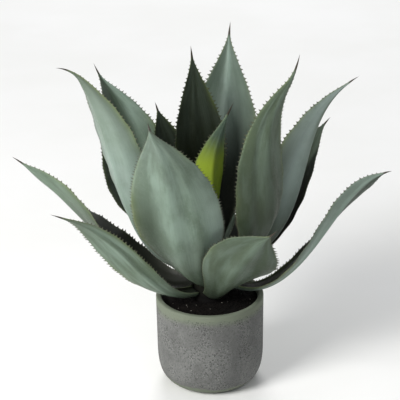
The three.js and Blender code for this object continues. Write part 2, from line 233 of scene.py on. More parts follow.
# Long soft ridges down single blades: place across the blade, half width as a share of the blade's, and
# height towards the inner face, as a share of the ridge depth.
RIDGES = {
    "leaf_front": [(-0.04, 0.28, -1.7), (0.28, 0.13, 0.7), (0.52, 0.2, -0.8), (-0.6, 0.16, 0.4)],
    "leaf_left_front_low": [(0.3, 0.16, -1.2), (0.62, 0.2, 0.7)],
    "leaf_left_low": [(-0.1, 0.25, -0.9)],
    "leaf_right_low": [(-0.3, 0.16, -1.0), (0.2, 0.2, 0.5)],
    "leaf_left": [(0.5, 0.22, -0.7)],
    "leaf_back": [(0.0, 0.14, 1.3), (-0.42, 0.2, -0.7), (0.4, 0.2, -0.6)],
    "leaf_back_left": [(0.1, 0.2, 0.8)],
    "leaf_right_front": [(0.15, 0.2, -1.1), (-0.35, 0.16, 0.8), (0.6, 0.15, 0.5)],
    "leaf_left_back": [(0.55, 0.22, -0.4)],
    "leaf_right": [(-0.5, 0.22, -0.7)],
    "leaf_front_right_low": [(-0.4, 0.18, 0.9), (-0.05, 0.2, -1.0), (0.4, 0.16, 0.8), (0.7, 0.14, -0.5)],
    "leaf_heart": [(-0.05, 0.2, -0.8)],
}

# Skin of a leaf, as shares.
# dark: painted shade over the whole leaf, for leaves deep in the rosette. young: fresh yellow-green growth.
# warm: olive growth. pale: thick pale bloom, laid on more thickly as painted light on brightly lit leaves.
# deep, reach: how dark the painted shade in the channel is, and how far along the blade.
# base, base_reach: the same painted shade for the blade's foot, on both faces. tip: how dark its end is.
# keel_shade: olive painted shade along the midrib, where the blade folds.
# left, right: how dark the painted shade on that side is, seen along the heading. left_from, right_from: how
# far from the midrib it starts, with soft for how softly. left_to, right_to: how far along the blade it goes.
# flare_highlight: painted highlight on the left margin of the lower blade, where it turns out.
PLAIN_SKIN = dict(
    dark=0.0, young=0.0, warm=0.0, pale=0.0, deep=0.8, reach=0.66, base=0.5, base_reach=0.45,
    left=0.0, left_from=0.05, left_to=2.0, right=0.0, right_from=0.05, right_to=2.0, soft=0.45,
    flare_highlight=0.0, keel_shade=0.0, tip=0.0,
)
SKINS = {
    "leaf_left_low": dict(deep=0.95, reach=0.98, base=1.0, base_reach=0.9, tip=0.2),
    "leaf_left_front_low": dict(pale=0.1, warm=0.3, tip=0.9),
    "leaf_front_right_low": dict(dark=0.48, warm=0.4, left=0.45),
    "leaf_right_low": dict(
        pale=0.4, deep=0.95, reach=0.9, left=0.95, left_from=-0.3,
        right=0.5, right_from=0.6, right_to=0.8, soft=0.4,
    ),
    "leaf_front": dict(
        pale=0.1, left=0.3, right=0.95, right_to=0.72, soft=0.55, base=0.75, base_reach=0.5, flare_highlight=0.8,
    ),
    "leaf_left": dict(pale=0.5, left=0.5, left_from=0.45, right=0.3, right_from=0.4, tip=0.8),
    "leaf_left_back": dict(
        pale=0.2, deep=0.5, left=0.9, left_from=-0.55, right=0.6, right_from=0.35, right_to=0.85, soft=0.35,
    ),
    "leaf_right": dict(
        pale=0.9, deep=0.9, base=1.0, base_reach=0.53, left=0.9, left_from=-0.2, left_to=0.6,
        right=0.72, right_from=0.3, right_to=0.85, keel_shade=0.7,
    ),
    "leaf_right_back": dict(dark=0.9, deep=0.95, reach=0.9),
    "leaf_right_front": dict(dark=0.35, warm=0.45, base=0.6, base_reach=0.75),
    "leaf_back": dict(pale=0.45, left=0.7, right=0.6, deep=0.9, reach=0.75),
    "leaf_back_left": dict(dark=1.0),
    "leaf_back_left_small": dict(dark=1.0),
    "leaf_heart": dict(young=1.0, right=0.3, soft=0.2),
    "leaf_back_middle": dict(deep=0.95, reach=0.9),
    "leaf_back_right_low": dict(deep=0.95, reach=0.9, left=0.9, left_from=-0.4, left_to=0.6),
}

# Concrete and stem: heights in metres between which the look changes
LIP_SMOOTHING = (0.1225, 0.129)
# Foot band: smoother, greener concrete, and also a painted highlight of the foot's bevel
FOOT_SMOOTHING_AND_HIGHLIGHT = (0.0155, 0.0115)
MOSS_RISE = (0.114, 0.128)
LEVEL_SWAY = 0.02
# Heights over which the stem turns from near-black painted shade to green
STEM_SHADE_TO_GREEN = (0.135, 0.2)

# Camera and lights, in metres and watts
CAMERA_PLACE = (-0.01203, -1.96917, 1.12515)
CAMERA_TILT = 66.8
CAMERA_TURN = -0.87
CAMERA_SENSOR = 36
CAMERA_LENS = 136.53
CAMERA_REACH = 50
LIGHT_TARGET = (0, 0, 0.25)
# Name, place, size, power and colour
LIGHTS = [
    ("key", (-1.64, -1.38, 1.55), 1.2, 70, (1, 0.99, 0.97)),
    ("fill", (1.12, -1.95, 1.9), 1.2, 4, (0.97, 0.98, 1)),
    ("rim", (2.2, 1.27, 1.4), 0.9, 5, (0.97, 0.98, 1)),
    ("backdrop", (0, 4.5, 3.5), 3.0, 150, (1, 1, 1)),
]
SKY_COLOUR = (0.95, 0.97, 1, 1)
SKY_STRENGTH = 0.3
FLOOR_HALF = 6000


# Shapes of the leaves

def along(values, t):
    """A value given at the root, middle and tip, along the leaf."""
    root, middle, tip = values
    return root * (1 - t) * (1 - 2 * t) + middle * 4 * t * (1 - t) + tip * t * (2 * t - 1)


def through_four(p, t):
    """The cubic through four points at 0, 1/3, 2/3 and 1."""
    a = (1 - 3 * t) * (1 - 1.5 * t) * (1 - t)
    b = 9 * t * (1 - 1.5 * t) * (1 - t)
    c = -4.5 * t * (1 - 3 * t) * (1 - t)
    d = t * (1 - 3 * t) * (1 - 1.5 * t)
    return p[0] * a + p[1] * b + p[2] * c + p[3] * d


def smooth(low, high, x):
    """0 below low, 1 above high, and a soft step between them."""
    u = np.clip((x - low) / (high - low), 0, 1)
    return u * u * (3 - 2 * u)


def unit(v):
    """The vectors v, each made one long."""
    return v / np.linalg.norm(v, axis=-1, keepdims=True)


def stem_radius(height):
    """The stem's radius at a height, which shrinks above its shoulder."""
    rise = np.clip((height - STEM_SHOULDER) / (STEM_TOP - STEM_SHOULDER), 0, 1)
    return STEM_RADIUS + (STEM_TOP_RADIUS - STEM_RADIUS) * rise


def midrib(leaf, t):
    """Points of the leaf's midrib, from the stem at t = 0 to the tip at t = 1."""
    knots = [[float(stem_radius(leaf["root"])) + ROOT_STAND, leaf["root"], 0], *leaf["midrib"]]
    bend = np.clip((t - HOOK_START) / (1 - HOOK_START), 0, None) ** 2
    paths = [through_four([k[axis] for k in knots], t) for axis in range(3)]
    out, up, side = (path + hook * bend for path, hook in zip(paths, leaf["hook"]))
    c, s = math.cos(math.radians(leaf["heading"])), math.sin(math.radians(leaf["heading"]))
    return np.stack([out * c - side * s, out * s + side * c, up], axis=-1)


def frames(leaf, t):
    """The midrib's places, its directions, the way across the blade and the way out of its inner face."""
    place = midrib(leaf, t)
    ahead = unit(midrib(leaf, t + TANGENT_STEP) - midrib(leaf, t - TANGENT_STEP))
    heading = math.radians(leaf["heading"])
    side = np.array([-math.sin(heading), math.cos(heading), 0])
    side = unit(side - ahead * (ahead @ side)[:, None])
    up = np.cross(ahead, side)
    roll = np.radians(along(leaf["roll"], t))[:, None]
    across = side * np.cos(roll) + up * np.sin(roll)
    return place, ahead, across, np.cross(ahead, across)


def leaf_length(leaf):
    """The length of the midrib, in millimetres."""
    points = midrib(leaf, np.linspace(0, 1, LENGTH_STEPS + 1))
    return float(np.linalg.norm(np.diff(points, axis=0), axis=1).sum())


def half_widths(leaf, t, spine_start):
    """Half the flat width of the blade, and of the spine beyond spine_start."""
    u = t / spine_start
    full = leaf["width"] / 2
    crest = leaf["crest"]
    rise = np.sin(np.pi / 2 * np.minimum(u / crest, 1)) ** 2
    wide = full * (leaf["waist"] + (1 - leaf["waist"]) * rise)
    fall = np.clip((u - crest) / (1 - crest), 0, 1) ** leaf["taper"]
    narrow = SPINE_RADIUS + (full - SPINE_RADIUS) * (1 - fall) ** TIP_DRAW
    spine = SPINE_RADIUS * (1 - t) / (1 - spine_start)
    return np.where(t >= spine_start, spine, np.where(u < crest, wide, narrow))


def blade_relief(leaf, t, v, half, phase):
    """How far the folds, ridges and waves of a blade lift its surface towards the inner face."""
    body = np.sin(np.pi * np.clip(t, 0, 1)) ** RELIEF_FADE * np.minimum(half / RELIEF_HALF_WIDTH, 1)
    sway = BROAD_SWAY * np.sin(BROAD_BENDS * t + phase)
    folds = BROAD_SHARE * np.cos(2 * np.pi * (BROAD_FOLDS * v + sway + phase))
    folds = folds + FINE_SHARE * np.cos(2 * np.pi * (FINE_FOLDS * v - FINE_SLANT * t + 2 * phase))
    own = RIDGES.get(leaf["name"], [])
    ridges = sum(high * np.exp(-(((v - at) / wide) ** 2)) for at, wide, high in own)
    turns = 2 * np.pi * leaf_length(leaf) * t / WAVE_LENGTH
    wave = np.abs(v) ** WAVE_TO_MARGIN * np.sin(turns + phase * WAVE_PHASE + np.sign(v))
    inside = np.clip(1 - v * v, 0, 1)
    return body * ((FOLD_DEPTH * folds + RIDGE_DEPTH * ridges) * inside + WAVE_DEPTH * wave)


def section_points(leaf, t, v, face, spine_start, phase):
    """Points of the blade: v runs across from -1 to 1, face is 1 inside, -1 outside and 0 between.
    t, v and face have the same length."""
    place, _, across, inward = frames(leaf, t)
    half = half_widths(leaf, t, spine_start)
    bend = np.maximum(np.radians(along(leaf["cup"], t)), LEAST_BEND)
    radius = half / bend
    blade = ROOT_THICKNESS + (TIP_THICKNESS - ROOT_THICKNESS) * np.sqrt(t)
    thick = np.minimum(blade, np.maximum(half * THICKNESS_TO_HALF_WIDTH, LEAST_THICKNESS))
    margin = np.minimum(MARGIN_THICKNESS, thick * MARGIN_TO_THICKNESS)
    depth = margin + (thick - margin) * np.clip(1 - v * v, 0, 1)
    fold = leaf["fold"]
    lift = radius * (1 - np.cos(bend * v)) * (1 - fold) + half * np.sin(bend / 2) * np.abs(v) * fold
    aside = radius * np.sin(bend * v) * (1 - fold) + half * np.cos(bend / 2) * v * fold
    lift = lift + face * depth / 2 + blade_relief(leaf, t, v, half, phase)
    return place + across * aside[:, None] + inward * lift[:, None]


def clear_of_stem(points):
    """Moves points that lie in the stem out to just beyond its surface."""
    reach = np.linalg.norm(points[:, :2], axis=1)
    least = stem_radius(points[:, 2]) + SEAT_GAP
    inside = (reach < least) & (points[:, 2] < STEM_TOP)
    scale = np.where(inside, least / np.maximum(reach, 1), 1)
    points[:, :2] *= scale[:, None]
    return points


def blade_faces(rows, size, tip):
    """Faces of a blade of rows of points, size in each, that closes at its root and ends in the point tip."""
    faces = []
    for i in range(rows - 1):
        for j in range(size):
            k = (j + 1) % size
            faces.append((i * size + k, i * size + j, (i + 1) * size + j, (i + 1) * size + k))
    last = (rows - 1) * size
    faces += [(last + (j + 1) % size, last + j, tip) for j in range(size)]
    faces.append(tuple(range(size)))
    return faces


def blade_mesh(leaf, phase):
    """The blade as rings of points from root to tip, with the marks that its material reads."""
    length = leaf_length(leaf)
    spine_start = 1 - SPINE_LENGTH / length
    rows = np.concatenate([
        np.linspace(0, spine_start, BLADE_ROWS, endpoint=False),
        np.linspace(spine_start, 1, SPINE_ROWS, endpoint=False),
    ])
    columns = np.linspace(-1, 1, BLADE_COLUMNS)
    ring_v = np.concatenate([columns, [1], columns[::-1], [-1]])
    ring_face = np.concatenate([np.ones(BLADE_COLUMNS), [0], -np.ones(BLADE_COLUMNS), [0]])
    size = len(ring_v)
    t = np.repeat(rows, size)
    v = np.tile(ring_v, len(rows))
    face = np.tile(ring_face, len(rows))
    half = half_widths(leaf, t, spine_start)
    reach = np.where(face == 0, 1 + RIM_REACH / np.maximum(half, 1), 1)
    points = clear_of_stem(section_points(leaf, t, v * reach, face, spine_start, phase))
    tip = len(points)
    points = np.vstack([points, midrib(leaf, np.array([1.0]))])
    blend_start, blend_end = (spine_start + step for step in SPINE_BLEND)
    marks = {
        "across": np.append(v, 0),
        "along": np.append(t * length * MM, length * MM),
        "edge": np.append(np.exp(-(1 - np.abs(v)) * half / EDGE_FADE), 0),
        "spine": np.append(smooth(blend_start, blend_end, t), 1),
        "outer": np.append(0.5 - face / 2, 0.5),
        "share": np.append(t, 1),
    }
    return points, blade_faces(len(rows), size, tip), marks


def tooth_points(base, ahead, outward, size):
    """Points of one hooked tooth, ring by ring, with its apex last."""
    through = np.cross(ahead, outward)
    points = []
    for height, half_long, half_thick, shift in TOOTH_RINGS:
        for m in range(TOOTH_SIDES):
            a = 2 * math.pi * m / TOOTH_SIDES
            points.append(
                base
                + outward * (height * size)
                + ahead * ((half_long * math.cos(a) + shift) * size)
                + through * (half_thick * math.sin(a))
            )
    height, shift = TOOTH_APEX
    points.append(base + outward * (height * size) + ahead * (shift * size))
    return points


def tooth_faces(first, turned):
    """Faces of the tooth whose points start at first, turned inside out for the left margin."""
    faces = []
    for k in range(len(TOOTH_RINGS) - 1):
        low, high = first + k * TOOTH_SIDES, first + (k + 1) * TOOTH_SIDES
        for m in range(TOOTH_SIDES):
            n = (m + 1) % TOOTH_SIDES
            faces.append((low + m, low + n, high + n, high + m))
    top = first + (len(TOOTH_RINGS) - 1) * TOOTH_SIDES
    apex = top + TOOTH_SIDES
    faces += [(top + m, top + (m + 1) % TOOTH_SIDES, apex) for m in range(TOOTH_SIDES)]
    faces.append(tuple(first + m for m in reversed(range(TOOTH_SIDES))))
    return [face[::-1] for face in faces] if turned else faces


def teeth_mesh(leaf, phase, rng):
    """Hooked teeth along both margins, each with its foot sunk in the margin."""
    length = leaf_length(leaf)
    spine_start = 1 - SPINE_LENGTH / length
    toothed = spine_start - TOOTH_FREE_ROOT
    count = int(toothed * length / TOOTH_PITCH)
    root_size, root_growth = TOOTH_ROOT_SWELL
    spine_size, spine_growth = TOOTH_SPINE_SWELL
    darkness = [*np.repeat(TOOTH_DARKNESS, TOOTH_SIDES), 1]
    points, faces = [], []
    marks = {name: [] for name in LEAF_MARKS}
    for sign in (-1, 1):
        for i in range(count):
            t = TOOTH_FREE_ROOT + (i + 0.5 + rng.uniform(-TOOTH_JITTER, TOOTH_JITTER)) / count * toothed
            swell = min(1, root_size + root_growth * (t - TOOTH_FREE_ROOT))
            swell = swell * min(1, spine_size + spine_growth * (spine_start - t))
            size = swell * rng.uniform(*TOOTH_SIZES)
            at = np.array([t])
            base = section_points(leaf, at, np.array([float(sign)]), np.array([0.0]), spine_start, phase)[0]
            _, ahead, across, inward = (a[0] for a in frames(leaf, at))
            bend = math.radians(float(along(leaf["cup"], t))) * (1 - leaf["fold"] / 2)
            outward = across * (sign * math.cos(bend)) + inward * math.sin(bend)
            faces += tooth_faces(len(points), sign > 0)
            points += tooth_points(base, ahead, outward, size)
            same = {"across": sign, "along": t * length * MM, "edge": 1, "outer": 0.5, "share": t}
            for name, value in same.items():
                marks[name] += [value] * len(darkness)
            marks["spine"] += darkness
    return np.array(points), faces, marks


def make_object(name, points, faces, marks=None, material=None):
    """A smooth shaded mesh object from millimetre points, with one float attribute for each mark."""
    mesh = bpy.data.meshes.new(name)
    mesh.from_pydata((np.asarray(points) * MM).tolist(), [], faces)
    mesh.update()
    for key, values in (marks or {}).items():
        attribute = mesh.attributes.new(key, "FLOAT", "POINT")
        attribute.data.foreach_set("value", np.asarray(values, np.float32))
    mesh.polygons.foreach_set("use_smooth", [True] * len(mesh.polygons))
    made = bpy.data.objects.new(name, mesh)
    bpy.context.scene.collection.objects.link(made)
    if material:
        mesh.materials.append(material)
    return made


def leaf_piece(leaf, material, rng):
    """One leaf: its blade and spine with the teeth."""
    phase = rng.uniform(0, 1)
    points, faces, marks = blade_mesh(leaf, phase)
    more_points, more_faces, more_marks = teeth_mesh(leaf, phase, rng)
    start = len(points)
    faces = faces + [tuple(start + i for i in f) for f in more_faces]
    marks = {key: np.concatenate([marks[key], more_marks[key]]) for key in LEAF_MARKS}
    piece = make_object(leaf["name"] + "_blade", np.vstack([points, more_points]), faces, marks, material)
    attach(piece, "root")
    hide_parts(leaf["name"])
    return piece


# Shapes of the pot, soil and stem

def circle(radius, height, count):
    """Points evenly round the pot's axis."""
    angles = [2 * math.pi * i / count for i in range(count)]
    return [(radius * math.cos(a), radius * math.sin(a), height) for a in angles]


def lathe(profile, sides):
    """A closed turned body from [radius, height] points, whose first and last lie on the axis."""
    points = [(0, 0, profile[0][1])]
    for radius, height in profile[1:-1]:
        points += circle(radius, height, sides)
    points.append((0, 0, profile[-1][1]))
    faces = []
    rings = len(profile) - 2
    for i in range(sides):
        j = (i + 1) % sides
        faces.append((0, 1 + j, 1 + i))
        for k in range(rings - 1):
            a, b = 1 + k * sides, 1 + (k + 1) * sides
            faces.append((a + i, a + j, b + j, b + i))
        top = 1 + (rings - 1) * sides
        faces.append((top + i, top + j, len(points) - 1))
    return points, faces


def bezier(p, steps):
    """Points of the cubic curve that four points of the profile plane steer."""
    found = []
    for i in range(steps + 1):
        t = i / steps
        weights = ((1 - t) ** 3, 3 * t * (1 - t) ** 2, 3 * t * t * (1 - t), t ** 3)
        found.append(tuple(sum(w * q[axis] for w, q in zip(weights, p)) for axis in range(2)))
    return found


def arc(centre, radius, start, end, steps):
    """Points of an arc in the profile plane, angles in degrees."""
    found = []
    for i in range(steps + 1):
        a = math.radians(start + (end - start) * i / steps)
        found.append((centre[0] + radius * math.cos(a), centre[1] + radius * math.sin(a)))
    return found


def pot_profile():
    """The pot's section, from the middle of its foot round the wall to the middle of its floor."""
    corner = bezier([
        (POT_FOOT_RADIUS, 0),
        (POT_FOOT_RADIUS + POT_FOOT_PULL, POT_FOOT_RISE),
        (POT_RADIUS - POT_SIDE_SLOPE, POT_CORNER_HEIGHT - POT_SIDE_PULL),
        (POT_RADIUS - POT_LIP_BEVEL, POT_CORNER_HEIGHT),
    ], POT_CORNER_STEPS)
    lip_height = POT_HEIGHT - POT_LIP_ROUND
    side = []
    for k in range(1, POT_SIDE_STEPS):
        radius = POT_RADIUS - POT_LIP_BEVEL * (1 - k / POT_SIDE_STEPS)
        side.append((radius, POT_CORNER_HEIGHT + (lip_height - POT_CORNER_HEIGHT) * k / POT_SIDE_STEPS))
    outer_lip = arc((POT_RADIUS - POT_LIP_ROUND, lip_height), POT_LIP_ROUND, 0, 90, POT_LIP_STEPS)
    inner_lip = arc((POT_BORE + POT_LIP_ROUND, lip_height), POT_LIP_ROUND, 90, 180, POT_LIP_STEPS)
    inside = [(POT_BORE, POT_CORNER_HEIGHT), (POT_FLOOR_RADIUS, POT_FLOOR), (0, POT_FLOOR)]
    return [(0, 0), (POT_FOOT_RADIUS - POT_FOOT_INSET, 0), *corner, *side, *outer_lip, *inner_lip, *inside]


def pot_piece(material):
    """The round concrete pot."""
    points, faces = lathe(pot_profile(), POT_SIDES)
    piece = make_object("pot_concrete", points, faces, material=material)
    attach(piece, "root")
    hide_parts("pot")
    return piece


def stem_piece(material):
    """The short stem, ringed by old leaf bases."""
    low, high = STEM_BOTTOM + STEM_BOTTOM_SLOPE, STEM_TOP - STEM_TOP_SLOPE
    profile = [(0, STEM_BOTTOM), (STEM_BOTTOM_RADIUS, STEM_BOTTOM), (STEM_RADIUS, low)]
    for k in range(1, STEM_ROWS):
        height = low + (high - low) * k / STEM_ROWS
        ring = abs(math.sin(math.pi * height / SCAR_PITCH)) ** 0.5
        profile.append((float(stem_radius(height)) - SCAR_DEPTH * (1 - ring), height))
    profile += [(STEM_END_RADIUS, STEM_TOP - STEM_END_ROUND), (0, STEM_TOP)]
    points, faces = lathe(profile, STEM_SIDES)
    piece = make_object("stem_core", points, faces, material=material)
    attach(piece, "root")
    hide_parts("stem")
    return piece


# A lump with twenty faces, 1 from its middle to each corner
LUMP_POINTS = [
    (0, 0, 1),
    (0.89, 0, 0.45), (0.28, 0.85, 0.45), (-0.72, 0.53, 0.45), (-0.72, -0.53, 0.45), (0.28, -0.85, 0.45),
    (0.72, 0.53, -0.45), (-0.28, 0.85, -0.45), (-0.89, 0, -0.45), (-0.28, -0.85, -0.45), (0.72, -0.53, -0.45),
    (0, 0, -1),
]
LUMP_FACES = [
    (0, 1, 2), (0, 2, 3), (0, 3, 4), (0, 4, 5), (0, 5, 1),
    (1, 6, 2), (2, 7, 3), (3, 8, 4), (4, 9, 5), (5, 10, 1),
    (2, 6, 7), (3, 7, 8), (4, 8, 9), (5, 9, 10), (1, 10, 6),
    (11, 7, 6), (11, 8, 7), (11, 9, 8), (11, 10, 9), (11, 6, 10),
]


def soil_height(x, y):
    """The height of the uneven soil at a place, in millimetres."""
    share = math.hypot(x, y) / SOIL_RADIUS
    lumps = [noise.noise(Vector((x / wide, y / wide, layer))) * high for wide, layer, high in SOIL_LUMPS]
    return SOIL_TOP + SOIL_DOME * (1 - share * share) + sum(lumps) * min(1, SOIL_EDGE_RISE * (1 - share))


def soil_bed(inner):
    """Points and faces of the bed of soil, a closed ring round the stem's hole of radius inner."""
    points, faces = [], []
    for k in range(SOIL_RINGS + 1):
        radius = inner + (SOIL_RADIUS - inner) * k / SOIL_RINGS
        points += [(x, y, soil_height(x, y)) for x, y, _ in circle(radius, 0, SOIL_SPOKES)]
    below = [
        (SOIL_RADIUS, POT_CORNER_HEIGHT + SOIL_CORNER_LIFT),
        (POT_FLOOR_RADIUS - SOIL_FLOOR_INSET, POT_FLOOR + SEAT_GAP),
        (inner, POT_FLOOR + SEAT_GAP),
    ]
    for radius, height in below:
        points += circle(radius, height, SOIL_SPOKES)
    rings = SOIL_RINGS + 1 + len(below)
    for k in range(rings):
        a, b = k * SOIL_SPOKES, (k + 1) % rings * SOIL_SPOKES
        for i in range(SOIL_SPOKES):
            j = (i + 1) % SOIL_SPOKES
            faces.append((a + i, b + i, b + j, a + j))
    return points, faces


def crumb_points(size, inner, rng):
    """Points of one loose crumb, turned and squashed by chance, somewhere on the soil."""
    radius = math.sqrt(rng.uniform((inner / SOIL_RADIUS) ** 2, CRUMB_REACH)) * SOIL_RADIUS
    a = rng.uniform(0, 2 * math.pi)
    x, y = radius * math.cos(a), radius * math.sin(a)
    turn = Matrix.Rotation(rng.uniform(*CRUMB_TURNS), 3, "Z")
    turn = turn @ Matrix.Rotation(rng.uniform(*CRUMB_TURNS), 3, "X")
    height = soil_height(x, y) + size * CRUMB_LIFT
    points = []
    for wide, deep, high in LUMP_POINTS:
        deep *= rng.uniform(*CRUMB_DEPTHS)
        high *= rng.uniform(*CRUMB_HEIGHTS)
        corner = turn @ Vector((wide * size, deep * size, high * size))
        points.append((x + corner.x, y + corner.y, height + corner.z))
    return points


def soil_piece(material, rng):
    """Crumbly potting soil: an uneven bed round the stem, with loose crumbs and a few pale grains on it."""
    inner = STEM_RADIUS + SEAT_GAP
    points, faces = soil_bed(inner)
    grain = [0] * len(points)
    for n in range(CRUMBS):
        pale = n % PALE_EVERY == 0
        size = rng.uniform(*(PALE_SIZES if pale else CRUMB_SIZES))
        start = len(points)
        points += crumb_points(size, inner, rng)
        faces += [tuple(start + i for i in f) for f in LUMP_FACES]
        grain += [1 if pale else rng.uniform(*CRUMB_PALENESS)] * len(LUMP_POINTS)
    piece = make_object("soil_bed", points, faces, {"grain": grain}, material)
    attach(piece, "root")
    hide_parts("soil")
    return piece


# Materials

def srgb(red, green, blue):
    """A colour given from 0 to 255 as the eye reads it, as the linear colour that a shader takes."""
    def linear(c):
        c /= 255
        return c / 12.92 if c <= 0.04045 else ((c + 0.055) / 1.055) ** 2.4
    return (linear(red), linear(green), linear(blue), 1)


LEAF_TONES = {
    "green": srgb(84, 103, 84),
    "blue": srgb(119, 140, 124),
    "chalk": srgb(122, 138, 128),
    "grass": srgb(86, 104, 76),
    "fibre": srgb(70, 86, 72),
    "bloom": srgb(136, 147, 138),
    # Pale bloom, partly painted light on brightly lit leaves
    "pale": srgb(150, 166, 160),
    "olive": srgb(80, 94, 66),
    # Painted shade at the foot of a blade
    "base": srgb(58, 68, 52),
    "tip": srgb(76, 88, 70),
    # Painted shade on one side of a blade
    "side": srgb(40, 55, 38),
    # Painted highlight on a turned-out margin
    "flare_highlight": srgb(150, 168, 158),
    # Painted shade in the channel near the root
    "channel": srgb(32, 34, 26),
    # Olive painted shade along the midrib
    "keel_shade": srgb(56, 66, 34),
    # Painted shade over leaves deep in the rosette
    "old": srgb(30, 31, 21),
    "young": srgb(176, 200, 64),
    "tinge": srgb(104, 118, 62),
    "margin": srgb(120, 132, 104),
    "spine": srgb(58, 51, 42),
}
CONCRETE_TONES = {
    "dark": srgb(101, 102, 100),
    "light": srgb(120, 121, 119),
    "streak": srgb(90, 91, 90),
    "grit": srgb(78, 79, 77),
    "speck": srgb(168, 170, 164),
    # Greener concrete at the lip, and at the foot also a painted highlight
    "moss_and_highlight": srgb(108, 117, 98),
    "pit": srgb(44, 45, 43),
}


class Shader:
    """Builds one material's nodes. A value given to a node is a number, a colour or another node's output."""

    def __init__(self, name):
        self.material = bpy.data.materials.new(name)
        self.material.use_nodes = True
        self.tree = self.material.node_tree
        self.surface = self.tree.nodes["Principled BSDF"]

    def feed(self, socket, value):
        if isinstance(value, bpy.types.NodeSocket):
            self.tree.links.new(value, socket)
        else:
            socket.default_value = value

    def node(self, kind, inputs=None, **settings):
        made = self.tree.nodes.new("ShaderNode" + kind)
        for key, value in settings.items():
            setattr(made, key, value)
        for key, value in (inputs or {}).items():
            self.feed(made.inputs[key], value)
        return made

    def mark(self, name):
        """The mesh's own mark at each point."""
        return self.node("Attribute", attribute_name=name).outputs["Fac"]

    def place(self):
        return self.node("TexCoord").outputs["Object"]

    def mix(self, factor, a, b):
        """a where factor is 0, b where it is 1."""
        made = self.node("Mix", data_type="RGBA")
        for index, value in ((0, factor), (6, a), (7, b)):
            self.feed(made.inputs[index], value)
        return made.outputs[2]

    def math(self, operation, a, b=0.0):
        made = self.node("Math", operation=operation)
        self.feed(made.inputs[0], a)
        self.feed(made.inputs[1], b)
        return made.outputs[0]

    def span(self, value, low, high, start=0.0, end=1.0):
        """value from low to high, as start to end, with a soft step."""
        inputs = {"Value": value, "From Min": low, "From Max": high, "To Min": start, "To Max": end}
        return self.node("MapRange", inputs, interpolation_type="SMOOTHSTEP").outputs["Result"]

    def noise(self, place, scale, detail=4.0, roughness=0.5):
        inputs = {"Vector": place, "Scale": scale, "Detail": detail, "Roughness": roughness}
        return self.node("TexNoise", inputs).outputs["Fac"]

    def spots(self, place, scale):
        """Distance from the middle of the nearest of many scattered cells."""
        inputs = {"Vector": place, "Scale": scale, "Randomness": 1.0}
        return self.node("TexVoronoi", inputs).outputs["Distance"]

    def bump(self, height, distance, strength=1.0, normal=None):
        made = self.node("Bump", {"Height": height, "Distance": distance, "Strength": strength})
        if normal:
            self.feed(made.inputs["Normal"], normal)
        return made.outputs["Normal"]

    def set(self, **inputs):
        for key, value in inputs.items():
            self.feed(self.surface.inputs[key.replace("_", " ")], value)
        return self.material


def leaf_fields(s):
    """The marks of a leaf and the noises that its skin is mixed from."""
    f = SimpleNamespace(**{name: s.mark(name) for name in LEAF_MARKS})

    def stretched(wide, long):
        x, y = s.math("MULTIPLY", f.across, wide), s.math("MULTIPLY", f.along, long)
        return s.node("CombineXYZ", {"X": x, "Y": y, "Z": f.outer}).outputs[0]

    f.fibres = s.noise(stretched(9.0, 6.0), 3.0, 5.0, 0.65)
    f.bands = s.noise(stretched(1.6, 8.0), 1.7, 4.0, 0.55)
    f.blotches = s.noise(s.place(), 24.0, 4.0, 0.6)
    f.clouds = s.noise(s.place(), 7.0, 2.0, 0.5)
    f.bloom = s.noise(s.place(), 260.0, 4.0, 0.6)
    return f


def leaf_growth(s, f, skin):
    """Blue-grey bloom over green bands and faint lengthwise fibres, and extra pale bloom that is partly
    painted light.
    """
    pale, warm = skin["pale"], skin["warm"]
    colour = s.mix(s.span(f.bands, 0.36, 0.64), LEAF_TONES["green"], LEAF_TONES["blue"])
    colour = s.mix(s.span(f.blotches, 0.42, 0.66, 0.0, 0.22), colour, LEAF_TONES["chalk"])
    colour = s.mix(s.span(f.clouds, 0.5, 0.68, 0.0, 0.5), colour, LEAF_TONES["grass"])
    colour = s.mix(s.span(f.fibres, 0.35, 0.7, 0.0, 0.16), colour, LEAF_TONES["fibre"])
    colour = s.mix(s.span(f.bloom, 0.45, 0.75, 0.0, 0.25), colour, LEAF_TONES["bloom"])
    # Extra pale bloom, real bloom that is laid on more thickly as painted light on brightly lit leaves.
    if pale:
        colour = s.mix(s.span(f.blotches, 0.3, 0.6, pale * 0.7, pale), colour, LEAF_TONES["pale"])
    if warm:
        colour = s.mix(s.span(f.bands, 0.3, 0.6, warm, warm * 0.5), colour, LEAF_TONES["olive"])
    return colour


